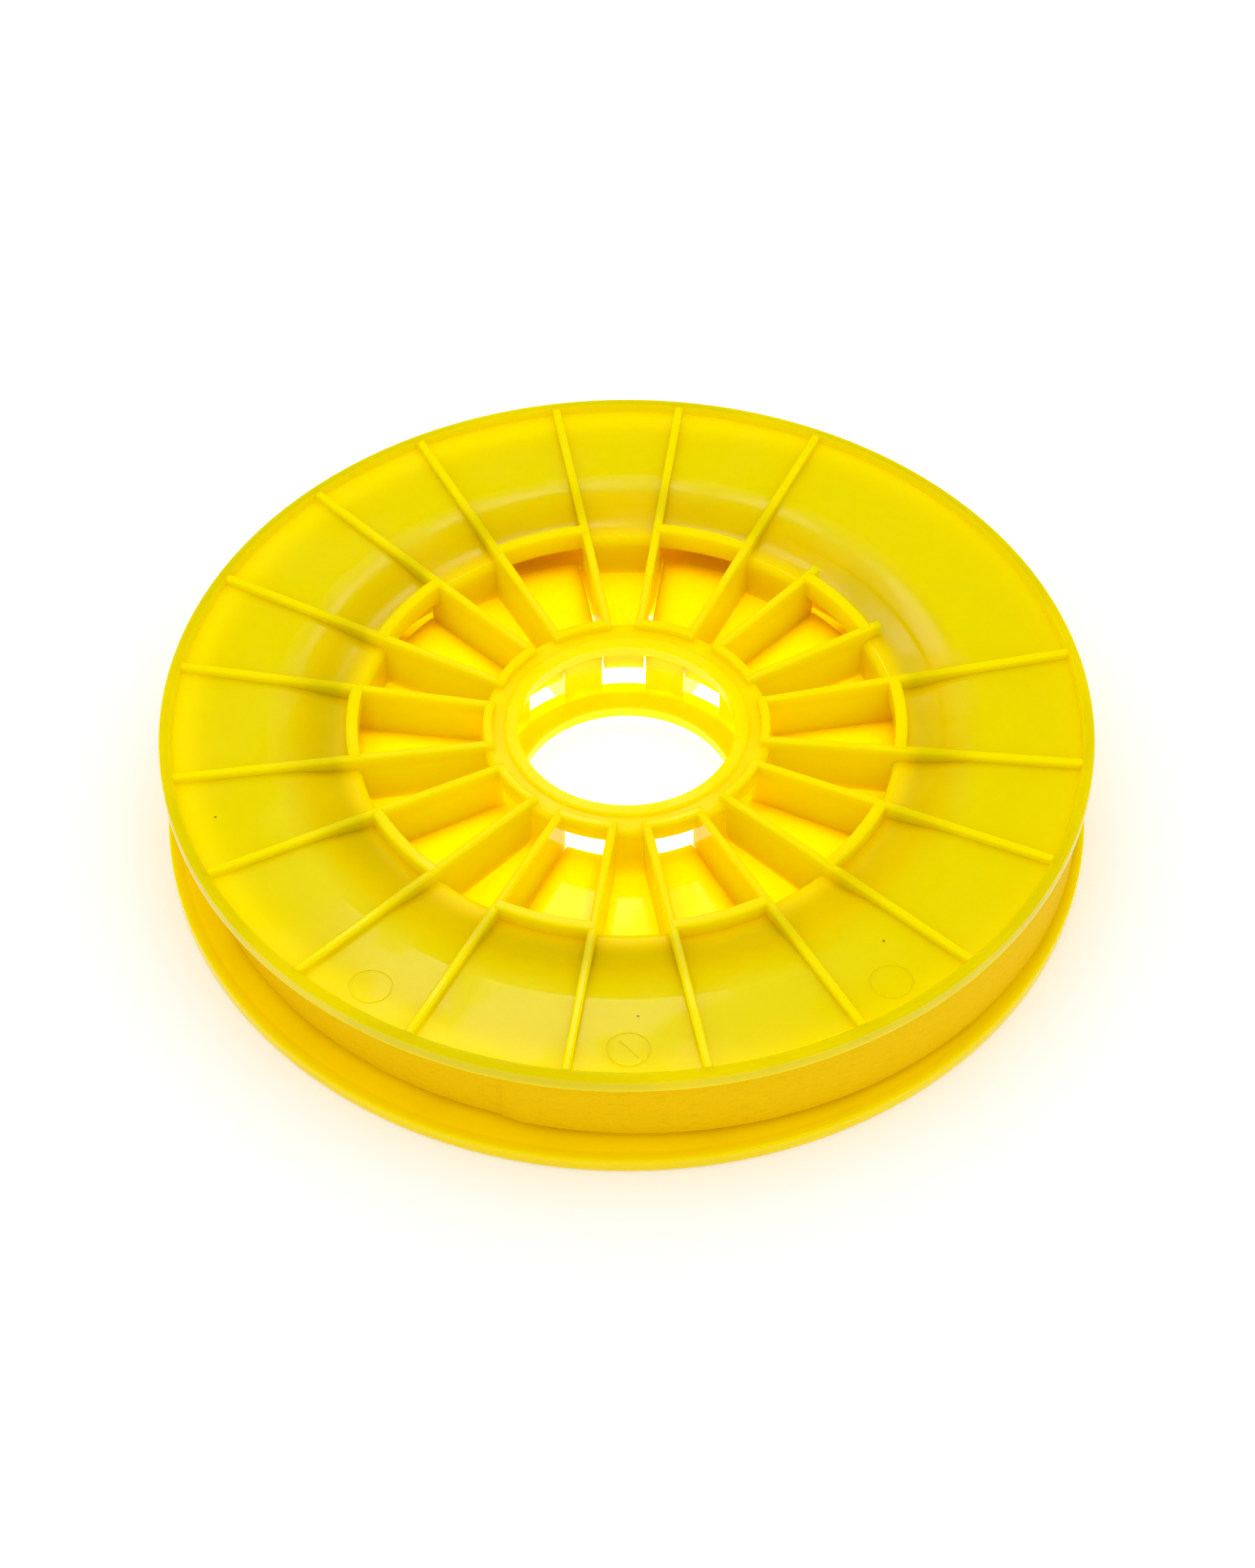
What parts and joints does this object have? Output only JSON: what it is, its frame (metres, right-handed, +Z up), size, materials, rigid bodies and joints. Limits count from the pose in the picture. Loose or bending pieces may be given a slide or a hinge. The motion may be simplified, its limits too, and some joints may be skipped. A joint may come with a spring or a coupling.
{
  "type": "strip reel",
  "caption": "Flanged plastic reel moulded in interlocking ribbed halves, with a plain central bore and a strip wound in its groove.",
  "frame": {"origin": "centre of the lower face, on the bore's axis", "axes": "+Z up along the bore axis; -Y is the front, where one pocket of the upper half is centred"},
  "size_m": [0.22, 0.22, 0.033],
  "materials": {
    "reel_plastic": "yellow semi-gloss moulded plastic",
    "strip_plastic": "orange-yellow matt, finely grained strip"
  },
  "bodies": {
    "root": {"upper_half": "reel_plastic", "lower_half": "reel_plastic", "wound_strip": "strip_plastic"}
  },
  "joints": []
}
